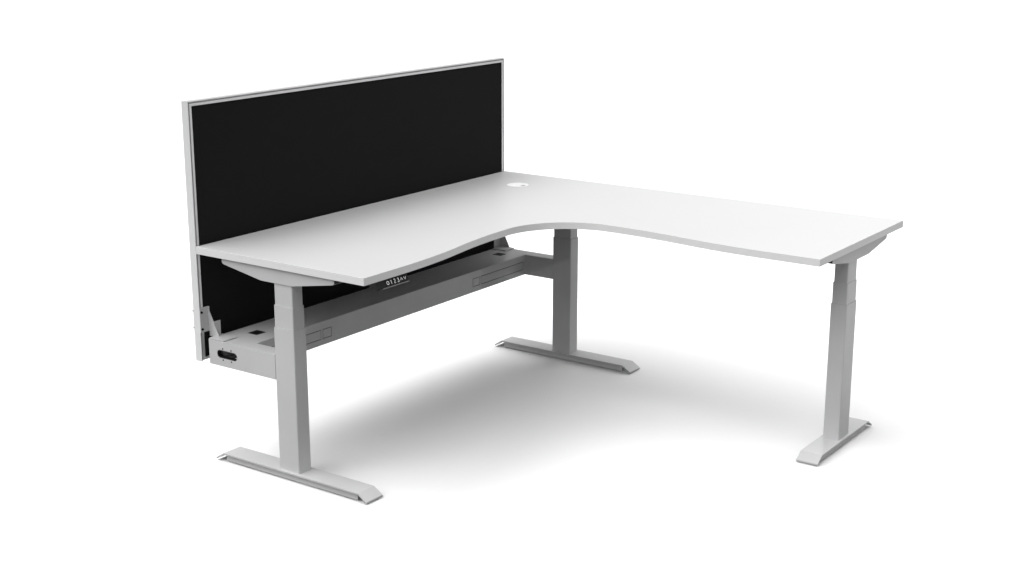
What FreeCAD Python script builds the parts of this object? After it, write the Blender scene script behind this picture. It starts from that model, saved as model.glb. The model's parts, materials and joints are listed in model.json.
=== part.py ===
import FreeCAD, Part
import collections
import math
import os
import types

import Sketcher

from FreeCAD import Rotation, Vector

# Height-adjustable corner desk: an L-shaped top on three telescopic columns, a cable beam, a fabric screen.
# +X runs along the right wing, -Y along the left wing to the user, +Z up, origin on the floor at mid plan.

# Driving dimensions in millimetres, and one angle in degrees.
DIMENSIONS = {
    # Desktop, whose two wings meet in a rounded inner corner
    "desktop_thickness": 25,
    "right_wing_length": 1800,
    "left_wing_length": 1800,
    "wing_depth": 750,
    "waist_rise": 53,
    "corner_radius": 260,
    "curve_share": 0.771,
    "band_thickness": 2,
    # Cable grommet in the desktop
    "grommet_from_screen": 233,
    "grommet_from_back": 235,
    "grommet_hole_radius": 40,
    "grommet_rim_width": 5,
    "grommet_rim_thickness": 2.5,
    "grommet_rim_gap": 0.2,
    "grommet_wall": 2,
    "grommet_ledge": 3,
    "grommet_cap_thickness": 5,
    "grommet_skirt_height": 10,
    "grommet_tail": 6,
    "notch_width": 26,
    "notch_depth": 18,
    # Where the columns stand under the desktop
    "leg_setback": 386,
    "left_leg_inset": 40,
    "corner_leg_inset": 101,
    "right_leg_inset": 50,
    "right_leg_setback": 401,
    # Feet
    "glide_height": 5,
    "glide_radius": 20,
    "glide_inset": 60,
    "glide_stem_radius": 4,
    "glide_collar_radius": 10,
    "glide_collar_height": 6,
    "rail_height": 22,
    "rail_wall": 3,
    "rail_setback": 8,
    "rail_end_inset": 8,
    "foot_thickness": 6,
    "foot_width": 80,
    "foot_rear_reach": 306,
    "foot_front_reach": 314,
    "right_foot_reach": 210.5,
    "foot_tip_run": 36,
    "foot_tip_drop": 23,
    # Telescopic columns
    "outer_width": 90,
    "outer_depth": 60,
    "tube_corner": 4,
    "tube_wall": 1.6,
    "tube_gap": 0.9,
    "outer_length": 499,
    "middle_length": 470,
    "inner_length": 443,
    "middle_reveal": 6,
    "inner_reveal": 5,
    "rest_lift": 140,
    "lift_above_rest": 510,
    "guide_height": 40,
    "guide_clearance": 0.3,
    "column_base_thickness": 6,
    "column_bolt_radius": 4,
    "column_bolt_head_radius": 6.5,
    "column_bolt_head_height": 5,
    "column_bolt_along": 28,
    "column_bolt_across": 14,
    # Lift drive inside each column
    "screw_radius": 9,
    "screw_bore_radius": 5.5,
    "screw_flange_radius": 16,
    "screw_flange_height": 6,
    "spindle_radius": 14,
    "spindle_bore_radius": 10,
    "spindle_flange_radius": 18,
    "spindle_flange_height": 6,
    "nut_height": 30,
    "socket_depth": 30,
    "drive_margin": 8,
    "hex_across_flats": 8,
    "journal_radius": 6,
    "journal_length": 24,
    "running_fit": 0.05,
    "bearing_thickness": 10,
    "gearbox_length": 70,
    "gearbox_width": 44,
    "gearbox_headroom": 4,
    "motor_radius": 17,
    "motor_length": 110,
    "motor_drop": 21,
    # Boat-shaped brackets under the desktop
    "bracket_depth": 52,
    "bracket_end_height": 20,
    "bracket_width": 58,
    "bracket_wall": 2,
    "bracket_rear_reach": 275,
    "bracket_front_reach": 229,
    "bracket_flat_rear": 95,
    "bracket_flat_front": 42,
    "right_bracket_rear_reach": 300,
    "right_bracket_front_reach": 190,
    "right_bracket_flat_rear": 133,
    "right_bracket_flat_front": 38,
    "right_bracket_end_height": 26,
    "bracket_nose": 10,
    "lug_length": 34,
    "lug_thickness": 3,
    "desk_screw_radius": 2.5,
    "desk_screw_head_radius": 4.5,
    "desk_screw_head_height": 3,
    "desk_screw_depth": 15,
    "desk_screw_across": 15,
    # Cable beam
    "beam_bottom": 349,
    "beam_height": 87,
    "beam_width": 176,
    "beam_gap": 22,
    "beam_wall": 2,
    "beam_lip": 40,
    "arm_corner": 8,
    "arm_window_margin": 8,
    "knockout_height": 36,
    "knockout_drop": 29,
    "long_knockout_inset": 12,
    "long_knockout_length": 306,
    "square_knockout_inset": 327,
    "square_knockout_length": 47,
    "cover_gap": 2.5,
    "cover_lap": 4,
    "cover_lap_thickness": 1.2,
    "insert_size": 46,
    "insert_gap": 0.4,
    "left_insert_inset": 70,
    "corner_insert_inset": 35,
    "insert_from_rear": 60,
    "port_length": 96,
    "port_height": 28,
    "port_corner": 13.5,
    "port_wall": 2.5,
    "port_depth": 16,
    "port_flange": 8,
    "port_from_rear": 92,
    "port_screw_spacing": 40,
    "port_screw_radius": 1.3,
    "port_screw_height": 1,
    "arm_screw_radius": 3,
    "arm_screw_head_radius": 5,
    "arm_screw_head_height": 3,
    "arm_screw_across": 16,
    "arm_screw_up": 28,
    # Fabric screen
    "screen_gap": 5,
    "screen_left_inset": 3.5,
    "screen_thickness": 30,
    "screen_bottom": 350,
    "screen_height": 900,
    "screen_cover": 3,
    "groove_width": 4.5,
    "groove_depth": 11,
    "flange_width": 9,
    "flange_thickness": 2,
    "frame_web": 2,
    "tile_gap": 0.3,
    # Screen brackets on the beam
    "plate_thickness": 3,
    "post_plate_low": 18,
    "post_plate_top": 106,
    "left_gusset_offset": 0,
    "corner_gusset_offset": 33,
    "left_gusset_top": 8,
    "corner_gusset_top": 34,
    "gusset_drop": 17,
    "left_gusset_foot": 54,
    "corner_gusset_foot": 80,
    "gusset_notch": 6,
    "left_tab_width": 30,
    "corner_tab_width": 48,
    "tab_height": 54,
    "base_plate_lap": 27,
    "base_plate_length": 63,
    "base_plate_inset": 5,
    "base_plate_reach": 70,
    "base_pad_thickness": 1.2,
    "base_pad_inset": 6,
    "clamp_thickness": 3,
    "clamp_inset": 2,
    "clamp_width": 38,
    "clamp_low": 6,
    "clamp_height": 90,
    "screen_screw_radius": 2,
    "screen_screw_head_radius": 4,
    "screen_screw_head_height": 4,
    "post_screw_low": 30,
    "post_screw_spacing": 60,
    "base_screw_offset": 16,
    "base_screw_depth": 2,
    "base_screw_reach": 34,
    "base_screw_spacing": 26,
    "screw_clearance": 0.2,
    # Control box
    "control_length": 260,
    "control_width": 100,
    "control_height": 36,
    "control_corner": 8,
    "control_setback": 330,
    "socket_width": 14,
    "socket_height": 10,
    "socket_pitch": 20,
    "inlet_width": 27,
    "inlet_height": 20,
    "inlet_depth": 12,
    # Handset with its keys
    "handset_from_end": 63,
    "handset_width": 154,
    "handset_depth": 50,
    "handset_height": 28,
    "handset_back_height": 14,
    "handset_lip": 5,
    "handset_ledge": 3,
    "handset_ledge_rise": 2,
    "handset_angle": 22,
    "handset_proud": 2,
    "key_width": 15,
    "key_height": 16.5,
    "key_depth": 3.5,
    "key_proud": 0.8,
    "key_travel": 0.8,
    "key_pitch": 16.8,
    "key_gap": 0.3,
    "key_from_top": 8,
    "first_key_inset": 54.5,
}

KEYS = ["memory", "preset_1", "preset_2", "preset_3", "up", "down"]

# A profile drawn in X and Y is stood on edge, so that Y points up, or turned to face along X.
ON_EDGE = Rotation(Vector(1, 0, 0), 90)
FACING_X = Rotation(Vector(1, 1, 1), 120)
ALONG_X = Rotation(Vector(0, 1, 0), 90)
BACKWARD = Rotation(Vector(0, 1, 0), -90)
ALONG_Y = Rotation(Vector(1, 0, 0), -90)
LEVEL = Rotation()

# How far a cutter runs past the face that it opens.
PAST = 1

doc = FreeCAD.newDocument("CornerDesk")
nodes = {}


class Size:
    """A length that keeps its number and the sheet formula that gives it."""

    def __init__(self, value, formula):
        self.value = value
        self.formula = formula

    def __add__(self, other):
        other = as_size(other)
        return Size(self.value + other.value, "(%s + %s)" % (self.formula, other.formula))

    def __sub__(self, other):
        other = as_size(other)
        return Size(self.value - other.value, "(%s - %s)" % (self.formula, other.formula))

    def __mul__(self, other):
        other = as_size(other)
        return Size(self.value * other.value, "(%s * %s)" % (self.formula, other.formula))

    def __truediv__(self, other):
        other = as_size(other)
        return Size(self.value / other.value, "(%s / %s)" % (self.formula, other.formula))

    def __neg__(self):
        return self * -1

    def __radd__(self, other):
        return as_size(other) + self

    def __rsub__(self, other):
        return as_size(other) - self

    def __rmul__(self, other):
        return as_size(other) * self


def as_size(amount):
    """A plain number as a Size, and a Size as it is."""
    if isinstance(amount, Size):
        return amount
    return Size(float(amount), "(%s)" % float(amount))


def sine(angle):
    return Size(math.sin(math.radians(angle.value)), "sin(%s * 1 deg)" % angle.formula)


def cosine(angle):
    return Size(math.cos(math.radians(angle.value)), "cos(%s * 1 deg)" % angle.formula)


def fill_sheet():
    """Write the driving dimensions in the sheet and hand them back as bindable sizes."""
    sheet = doc.addObject("Spreadsheet::Sheet", "Sizes")
    for row, (alias, value) in enumerate(DIMENSIONS.items(), start=1):
        sheet.set("A%d" % row, alias.replace("_", " "))
        sheet.set("B%d" % row, str(value))
        sheet.setAlias("B%d" % row, alias)
    doc.recompute()
    sizes = {alias: Size(float(sheet.get(alias)), "Sizes." + alias) for alias in DIMENSIONS}
    return types.SimpleNamespace(**sizes)


def bind(obj, prop, amount):
    obj.setExpression(prop, as_size(amount).formula)


def place(obj, spot, turn):
    """Put an object at a spot bound to the sheet, turned by a fixed rotation."""
    obj.Placement = FreeCAD.Placement(Vector(*[as_size(amount).value for amount in spot]), turn)
    for axis, amount in zip("xyz", spot):
        bind(obj, "Placement.Base." + axis, amount)
    return obj


def block(name, spot, lengths, turn=LEVEL):
    """A box from its lowest corner."""
    box = doc.addObject("Part::Box", name)
    for prop, amount in zip(("Length", "Width", "Height"), lengths):
        bind(box, prop, amount)
    return place(box, spot, turn)


def rod(name, spot, radius, length, turn=LEVEL):
    """A cylinder from the centre of its first end."""
    cylinder = doc.addObject("Part::Cylinder", name)
    bind(cylinder, "Radius", radius)
    bind(cylinder, "Height", length)
    return place(cylinder, spot, turn)


def hexagon(name, spot, across_flats, length):
    """An upright hexagonal bar."""
    prism = doc.addObject("Part::Prism", name)
    prism.Polygon = 6
    bind(prism, "Circumradius", across_flats / math.sqrt(3))
    bind(prism, "Height", length)
    return place(prism, spot, LEVEL)


def fuse(name, *pieces):
    joined = doc.addObject("Part::MultiFuse", name)
    joined.Shapes = list(pieces)
    joined.Refine = True
    return joined


def cut(name, base, *tools):
    taken = doc.addObject("Part::Cut", name)
    taken.Base = base
    taken.Tool = tools[0] if len(tools) == 1 else fuse(name + "_cutters", *tools)
    return taken


def common(name, first, second):
    shared = doc.addObject("Part::Common", name)
    shared.Base = first
    shared.Tool = second
    return shared


def group(name, pieces):
    """Identical or related pieces as separate solids of one object."""
    together = doc.addObject("Part::Compound", name)
    together.Links = list(pieces)
    return together


def node(name, obj):
    """Name a finished sub-part."""
    obj.Label = name
    nodes[name] = obj


def pin(sketch, geometry, end, x=None, y=None):
    """Hold a point of the sketch at its distances from the sketch's origin."""
    for kind, amount in (("DistanceX", x), ("DistanceY", y)):
        if amount is not None:
            amount = as_size(amount)
            index = sketch.addConstraint(Sketcher.Constraint(kind, -1, 1, geometry, end, amount.value))
            sketch.setExpression("Constraints[%d]" % index, amount.formula)


def join(sketch, first, first_end, second, second_end, kind="Coincident"):
    sketch.addConstraint(Sketcher.Constraint(kind, first, first_end, second, second_end))


def hold_radius(sketch, geometry, radius):
    index = sketch.addConstraint(Sketcher.Constraint("Radius", geometry, radius.value))
    sketch.setExpression("Constraints[%d]" % index, radius.formula)


def arc_between(centre, start, end):
    """A counter-clockwise arc about a centre, from one point to another."""
    spoke, last = start - centre, end - centre
    first_angle = math.atan2(spoke.y, spoke.x)
    last_angle = math.atan2(last.y, last.x)
    return Part.ArcOfCircle(Part.Circle(centre, Vector(0, 0, 1), spoke.Length), first_angle, last_angle)


def round_off(before, corner, after, radius):
    """Where a rounded corner starts and ends, its centre, and whether it turns to the left."""
    back = (before - corner).normalize()
    ahead = (after - corner).normalize()
    half = back.getAngle(ahead) / 2
    enter = corner + back * (radius / math.tan(half))
    leave = corner + ahead * (radius / math.tan(half))
    centre = corner + (back + ahead).normalize() * (radius / math.sin(half))
    return enter, leave, centre, back.cross(ahead).z < 0


def outline(sketch, corners):
    """Draw a closed outline of straight runs. A corner is (x, y), or (x, y, radius) where it is rounded."""
    count = len(corners)
    points = [Vector(as_size(corner[0]).value, as_size(corner[1]).value, 0) for corner in corners]
    rounds = {}
    for i, corner in enumerate(corners):
        if len(corner) == 3:
            rounds[i] = round_off(points[i - 1], points[i], points[(i + 1) % count], corner[2].value)
    runs = []
    for i in range(count):
        ahead = (i + 1) % count
        start = rounds[i][1] if i in rounds else points[i]
        end = rounds[ahead][0] if ahead in rounds else points[ahead]
        runs.append(sketch.addGeometry(Part.LineSegment(start, end)))
    for i, corner in enumerate(corners):
        if i not in rounds:
            join(sketch, runs[i - 1], 2, runs[i], 1)
            pin(sketch, runs[i], 1, corner[0], corner[1])
            continue
        enter, leave, centre, left_turn = rounds[i]
        start, end = (enter, leave) if left_turn else (leave, enter)
        arc = sketch.addGeometry(arc_between(centre, start, end))
        join(sketch, runs[i - 1], 2, arc, 1 if left_turn else 2, "Tangent")
        join(sketch, runs[i], 1, arc, 2 if left_turn else 1, "Tangent")
        hold_radius(sketch, arc, corner[2])
        mark = sketch.addGeometry(Part.Point(points[i]), True)
        pin(sketch, mark, 1, corner[0], corner[1])
        for run in (runs[i - 1], runs[i]):
            sketch.addConstraint(Sketcher.Constraint("PointOnObject", mark, 1, run))


def ring(sketch, radius):
    """Draw a circle about the sketch's origin."""
    circle = sketch.addGeometry(Part.Circle(Vector(0, 0, 0), Vector(0, 0, 1), radius.value))
    pin(sketch, circle, 3, 0, 0)
    hold_radius(sketch, circle, radius)


def start_sketch(name):
    """A body with an empty sketch on its own XY plane."""
    body = doc.addObject("PartDesign::Body", name)
    sketch = body.newObject("Sketcher::SketchObject", name + "_sketch")
    plane = [feature for feature in body.Origin.OriginFeatures if feature.Role == "XY_Plane"][0]
    sketch.AttachmentSupport = [(plane, "")]
    sketch.MapMode = "FlatFace"
    return body, sketch


def pad(body, sketch, height):
    feature = body.newObject("PartDesign::Pad", sketch.Name + "_pad")
    feature.Profile = sketch
    bind(feature, "Length", height)
    return body


def slab(name, outlines, height, spot, turn=LEVEL, hole_radius=None):
    """A flat piece with the given outlines, the later ones being openings, and a round hole if asked for."""
    body, sketch = start_sketch(name)
    for corners in outlines:
        outline(sketch, corners)
    if hole_radius is not None:
        ring(sketch, hole_radius)
    return place(pad(body, sketch, height), spot, turn)


def rectangle(width, depth, corner):
    """Corners of a rounded rectangle about the origin."""
    x, y = width / 2, depth / 2
    return [(-x, -y, corner), (x, -y, corner), (x, y, corner), (-x, y, corner)]


size = fill_sheet()

# Plan: the desktop's edges in X and Y.
rear_reach = size.screen_gap + size.screen_thickness + size.clamp_thickness + size.screen_screw_head_height
screen_edge = -(size.right_wing_length - rear_reach) / 2
right_end = screen_edge + size.right_wing_length
back_edge = size.left_wing_length / 2
left_end = back_edge - size.left_wing_length

# Heights from the floor up, with the desktop at its rest height.
rail_top = size.glide_height + size.rail_height
foot_top = rail_top + size.foot_thickness
base_top = foot_top + size.column_base_thickness
outer_top = foot_top + size.outer_length
middle_top = outer_top + size.middle_reveal + size.rest_lift / 2
middle_bottom = middle_top - size.middle_length
inner_top = outer_top + size.middle_reveal + size.inner_reveal + size.rest_lift
inner_bottom = inner_top - size.inner_length
desk_under = inner_top + size.bracket_depth
desk_top = desk_under + size.desktop_thickness
half_lift = size.lift_above_rest / 2

# Tube sections from the outside in.
stage_step = size.tube_wall + size.tube_gap
middle_width = size.outer_width - stage_step * 2
middle_depth = size.outer_depth - stage_step * 2
inner_width = middle_width - stage_step * 2
inner_depth = middle_depth - stage_step * 2
guide_thickness = size.tube_gap - size.guide_clearance

Leg = collections.namedtuple("Leg", "name x y turn rear front bracket")
Bracket = collections.namedtuple("Bracket", "rear flat_rear flat_front front end_height")
screen_bracket = Bracket(size.bracket_rear_reach, size.bracket_flat_rear, size.bracket_flat_front,
                         size.bracket_front_reach, size.bracket_end_height)
right_bracket = Bracket(size.right_bracket_rear_reach, size.right_bracket_flat_rear,
                        size.right_bracket_flat_front, size.right_bracket_front_reach,
                        size.right_bracket_end_height)
left_leg = Leg("left", screen_edge + size.leg_setback, left_end + size.left_leg_inset, 0,
               size.foot_rear_reach, size.foot_front_reach, screen_bracket)
corner_leg = Leg("corner", screen_edge + size.leg_setback, back_edge - size.corner_leg_inset, 0,
                 size.foot_rear_reach, size.foot_front_reach, screen_bracket)
right_leg = Leg("right", right_end - size.right_leg_inset, back_edge - size.right_leg_setback, -90,
                size.right_foot_reach, size.right_foot_reach, right_bracket)
legs = [left_leg, corner_leg, right_leg]


def at(leg, along, across, height):
    """A spot given along and across a leg's foot, counted from the column's centre."""
    if leg.turn:
        return leg.x + across, leg.y - along, height
    return leg.x + along, leg.y + across, height


def turned(leg, turn=LEVEL):
    return Rotation(Vector(0, 0, 1), leg.turn) * turn


def bolt_rods(leg, name, radius, low, length):
    """Four upright rods on the column's bolt pattern."""
    spots = [(x, y) for x in (-1, 1) for y in (-1, 1)]
    return [
        rod("%s_%s_%d" % (leg.name, name, i),
            at(leg, size.column_bolt_along * x, size.column_bolt_across * y, low), radius, length)
        for i, (x, y) in enumerate(spots)
    ]


def bolt_holes(leg, name, low, length):
    radius = size.column_bolt_radius + size.screw_clearance
    return bolt_rods(leg, name, radius, low - PAST, length + PAST * 2)


def make_foot(leg):
    """A flat plate whose two ends are bent down to the floor."""
    tip = foot_top - size.foot_tip_drop
    rear_tip = -leg.rear - size.foot_tip_run
    front_tip = leg.front + size.foot_tip_run
    corners = [
        (rear_tip, tip), (-leg.rear, foot_top), (leg.front, foot_top), (front_tip, tip),
        (front_tip, tip - size.foot_thickness), (leg.front, rail_top),
        (-leg.rear, rail_top), (rear_tip, tip - size.foot_thickness),
    ]
    plate = slab(leg.name + "_foot_plate", [corners], size.foot_width,
                 at(leg, 0, size.foot_width / 2, 0), turned(leg, ON_EDGE))
    holes = bolt_holes(leg, "foot_hole", rail_top, size.foot_thickness)
    return cut(leg.name + "_foot_bored", plate, *holes)


def glide_places(leg):
    return [-leg.rear + size.glide_inset, leg.front - size.glide_inset]


def make_rail(leg):
    """A channel under the foot, open downwards, that takes the glides and the column's bolts."""
    width = size.foot_width - size.rail_setback * 2
    start = -leg.rear + size.rail_end_inset
    length = leg.rear + leg.front - size.rail_end_inset * 2
    outside = block(leg.name + "_rail_outside", at(leg, start, -width / 2, size.glide_height),
                    (length, width, size.rail_height), turned(leg))
    inside = block(leg.name + "_rail_inside",
                   at(leg, start - PAST, -width / 2 + size.rail_wall, size.glide_height - PAST),
                   (length + PAST * 2, width - size.rail_wall * 2, size.rail_height - size.rail_wall + PAST),
                   turned(leg))
    roof = rail_top - size.rail_wall
    holes = bolt_holes(leg, "rail_hole", roof, size.rail_wall)
    for i, along in enumerate(glide_places(leg)):
        holes.append(rod("%s_stem_hole_%d" % (leg.name, i), at(leg, along, 0, roof - PAST),
                         size.glide_stem_radius + size.screw_clearance, size.rail_wall + PAST * 2))
    return cut(leg.name + "_rail", outside, inside, *holes)


def make_glide(leg, index, along):
    """A levelling glide: disc, threaded stem and the collar that the rail stands on."""
    name = "%s_glide_%d" % (leg.name, index)
    disc = rod(name + "_disc", at(leg, along, 0, 0), size.glide_radius, size.glide_height)
    stem = rod(name + "_stem", at(leg, along, 0, 0), size.glide_stem_radius, rail_top)
    collar_low = rail_top - size.rail_wall - size.glide_collar_height
    collar = rod(name + "_collar", at(leg, along, 0, collar_low), size.glide_collar_radius,
                 size.glide_collar_height)
    return fuse(name, disc, stem, collar)


def tube_bore(width, depth):
    """Corners of the bore of a column tube with the given outside."""
    wall = size.tube_wall
    return rectangle(width - wall * 2, depth - wall * 2, size.tube_corner - wall)


def make_column_base(leg):
    """The plate inside the outer tube's foot that the bolts hold down."""
    plate = slab(leg.name + "_base_plate", [tube_bore(size.outer_width, size.outer_depth)],
                 size.column_base_thickness, at(leg, 0, 0, foot_top), turned(leg))
    holes = bolt_holes(leg, "base_hole", foot_top, size.column_base_thickness)
    return cut(leg.name + "_base", plate, *holes)


def make_column_bolts(leg):
    under_roof = rail_top - size.rail_wall
    shanks = bolt_rods(leg, "bolt_shank", size.column_bolt_radius, under_roof, base_top - under_roof)
    head_height = size.column_bolt_head_height
    heads = bolt_rods(leg, "bolt_head", size.column_bolt_head_radius, under_roof - head_height, head_height)
    return [fuse("%s_bolt_%d" % (leg.name, i), *pair) for i, pair in enumerate(zip(heads, shanks))]


def make_sleeve(leg, name, width, depth, corner, wall, low, length):
    """A rounded rectangular sleeve standing on the column's axis."""
    bore = rectangle(width - wall * 2, depth - wall * 2, corner - wall)
    return slab("%s_%s" % (leg.name, name), [rectangle(width, depth, corner), bore], length,
                at(leg, 0, 0, low), turned(leg))


def make_tube(leg, name, width, depth, low, length):
    """One of the column's steel tubes."""
    return make_sleeve(leg, name, width, depth, size.tube_corner, size.tube_wall, low, length)


def make_outer_guide(leg):
    """A plastic lining in the mouth of the outer tube."""
    wall = size.tube_wall
    return make_sleeve(leg, "outer_guide", size.outer_width - wall * 2, size.outer_depth - wall * 2,
                       size.tube_corner - wall, guide_thickness, outer_top - size.guide_height,
                       size.guide_height)


def make_inner_guide(leg):
    """A plastic sleeve round the lower end of the inner tube."""
    around = guide_thickness * 2
    return make_sleeve(leg, "inner_guide", inner_width + around, inner_depth + around,
                       size.tube_corner + guide_thickness, guide_thickness, inner_bottom, size.guide_height)


# Lift drive: the spindle climbs the fixed screw, and the inner tube's nut climbs the spindle.
spindle_low = middle_bottom - size.guide_clearance - size.spindle_flange_height
spindle_top = inner_bottom + half_lift + size.nut_height + size.drive_margin * 2
screw_top = spindle_low + half_lift + size.nut_height + size.drive_margin
shaft_low = spindle_top - half_lift - size.socket_depth
gearbox_under = inner_top + size.bracket_wall


def make_fixed_screw(leg):
    """A hollow screw that stands on the column base and doesn't turn."""
    shank = rod(leg.name + "_screw_shank", at(leg, 0, 0, base_top), size.screw_radius, screw_top - base_top)
    flange = rod(leg.name + "_screw_flange", at(leg, 0, 0, base_top), size.screw_flange_radius,
                 size.screw_flange_height)
    bore = rod(leg.name + "_screw_bore", at(leg, 0, 0, base_top - PAST), size.screw_bore_radius,
               screw_top - base_top + PAST * 2)
    return cut(leg.name + "_fixed_screw", fuse(leg.name + "_screw_blank", shank, flange), bore)


def make_spindle(leg):
    """The turning hollow spindle: flange and nut at its foot, hexagonal socket at its head."""
    body = rod(leg.name + "_spindle_body", at(leg, 0, 0, spindle_low), size.spindle_radius,
               spindle_top - spindle_low)
    flange = rod(leg.name + "_spindle_flange", at(leg, 0, 0, spindle_low), size.spindle_flange_radius,
                 size.spindle_flange_height)
    nut_bore = rod(leg.name + "_spindle_nut_bore", at(leg, 0, 0, spindle_low - PAST),
                   size.screw_radius + size.running_fit, size.nut_height + PAST * 2)
    bore_low = spindle_low + size.nut_height
    bore = rod(leg.name + "_spindle_bore", at(leg, 0, 0, bore_low), size.spindle_bore_radius,
               spindle_top - size.socket_depth - bore_low)
    socket = hexagon(leg.name + "_spindle_socket", at(leg, 0, 0, spindle_top - size.socket_depth - PAST),
                     size.hex_across_flats + size.running_fit * 2, size.socket_depth + PAST * 2)
    blank = fuse(leg.name + "_spindle_blank", body, flange)
    return cut(leg.name + "_spindle_hollow", blank, nut_bore, bore, socket)


def make_shaft(leg):
    """The hexagonal bar that turns the spindle, with its round journal in the gearbox."""
    bar = hexagon(leg.name + "_shaft_bar", at(leg, 0, 0, shaft_low), size.hex_across_flats,
                  gearbox_under - shaft_low)
    journal = rod(leg.name + "_shaft_journal", at(leg, 0, 0, gearbox_under), size.journal_radius,
                  size.journal_length)
    return fuse(leg.name + "_shaft", bar, journal)


def make_bearing(leg):
    """The plate in the middle tube's foot that rides on the spindle's flange."""
    return slab(leg.name + "_bearing", [tube_bore(middle_width, middle_depth)], size.bearing_thickness,
                at(leg, 0, 0, middle_bottom), turned(leg), size.spindle_radius + size.running_fit)


def make_nut(leg):
    """The nut in the inner tube's foot that runs on the spindle."""
    return slab(leg.name + "_nut", [tube_bore(inner_width, inner_depth)], size.nut_height,
                at(leg, 0, 0, inner_bottom), turned(leg), size.spindle_radius + size.running_fit)


def make_motor(leg):
    """A gearbox over the column with its motor lying in the bracket."""
    half = size.gearbox_length / 2
    gearbox_top = desk_under - size.gearbox_headroom
    gearbox = block(leg.name + "_gearbox", at(leg, -half, -size.gearbox_width / 2, gearbox_under),
                    (size.gearbox_length, size.gearbox_width, gearbox_top - gearbox_under), turned(leg))
    motor = rod(leg.name + "_motor_can", at(leg, -half, 0, desk_under - size.motor_drop), size.motor_radius,
                size.motor_length, turned(leg, BACKWARD))
    bore = rod(leg.name + "_gearbox_bore", at(leg, 0, 0, gearbox_under - PAST),
               size.journal_radius + size.running_fit, size.journal_length + PAST * 2)
    return cut(leg.name + "_motor", fuse(leg.name + "_motor_blank", gearbox, motor), bore)


def bracket_outline(leg):
    """Side outline of the boat-shaped bracket, its two lower corners rounded."""
    shape = leg.bracket
    end = desk_under - shape.end_height
    return [
        (-shape.rear, desk_under), (-shape.rear, end, size.bracket_nose),
        (-shape.flat_rear, inner_top), (shape.flat_front, inner_top),
        (shape.front, end, size.bracket_nose), (shape.front, desk_under),
    ]


def bracket_hollow(leg):
    """Side outline of the bracket's inside, which is open at the top and at both ends."""
    shape = leg.bracket
    floor = inner_top + size.bracket_wall
    end = desk_under - shape.end_height + size.bracket_wall
    rear, front, top = -shape.rear - PAST, shape.front + PAST, desk_under + PAST
    return [
        (rear, top), (rear, end), (-shape.flat_rear, floor), (shape.flat_front, floor),
        (front, end), (front, top),
    ]


def desk_screw_spots(leg):
    """Screw places along and across a bracket, in the middle of its two end lugs."""
    inset = size.bracket_wall + size.lug_length / 2
    alongs = (-leg.bracket.rear + inset, leg.bracket.front - inset)
    return [(along, size.desk_screw_across * side) for along in alongs for side in (-1, 1)]


def make_bracket(leg):
    """A folded channel, open at the top and the ends, with a lug at each end for the desktop screws."""
    wall = size.bracket_wall
    clear_width = size.bracket_width - wall * 2
    outside = slab(leg.name + "_bracket_outside", [bracket_outline(leg)], size.bracket_width,
                   at(leg, 0, size.bracket_width / 2, 0), turned(leg, ON_EDGE))
    inside = slab(leg.name + "_bracket_inside", [bracket_hollow(leg)], clear_width,
                  at(leg, 0, clear_width / 2, 0), turned(leg, ON_EDGE))
    shell = cut(leg.name + "_bracket_shell", outside, inside)
    lug_low = desk_under - size.lug_thickness
    lug_starts = (-leg.bracket.rear + wall, leg.bracket.front - wall - size.lug_length)
    lugs = [
        block("%s_lug_%d" % (leg.name, i), at(leg, start, -clear_width / 2, lug_low),
              (size.lug_length, clear_width, size.lug_thickness), turned(leg))
        for i, start in enumerate(lug_starts)
    ]
    holes = [
        rod("%s_lug_hole_%d" % (leg.name, i), at(leg, along, across, lug_low - PAST),
            size.desk_screw_radius + size.screw_clearance, size.lug_thickness + PAST * 2)
        for i, (along, across) in enumerate(desk_screw_spots(leg))
    ]
    shaft_hole = rod(leg.name + "_bracket_shaft_hole", at(leg, 0, 0, inner_top - PAST),
                     size.journal_radius + size.tube_wall, wall + PAST * 2)
    blank = fuse(leg.name + "_bracket_blank", shell, *lugs)
    return cut(leg.name + "_bracket_bored", blank, shaft_hole, *holes)


def make_desk_screws(leg):
    under_lug = desk_under - size.lug_thickness
    screws = []
    for i, (along, across) in enumerate(desk_screw_spots(leg)):
        name = "%s_desk_screw_%d" % (leg.name, i)
        head = rod(name + "_head", at(leg, along, across, under_lug - size.desk_screw_head_height),
                   size.desk_screw_head_radius, size.desk_screw_head_height)
        shank = rod(name + "_shank", at(leg, along, across, under_lug), size.desk_screw_radius,
                    size.lug_thickness + size.desk_screw_depth)
        screws.append(fuse(name, head, shank))
    return screws


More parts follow.
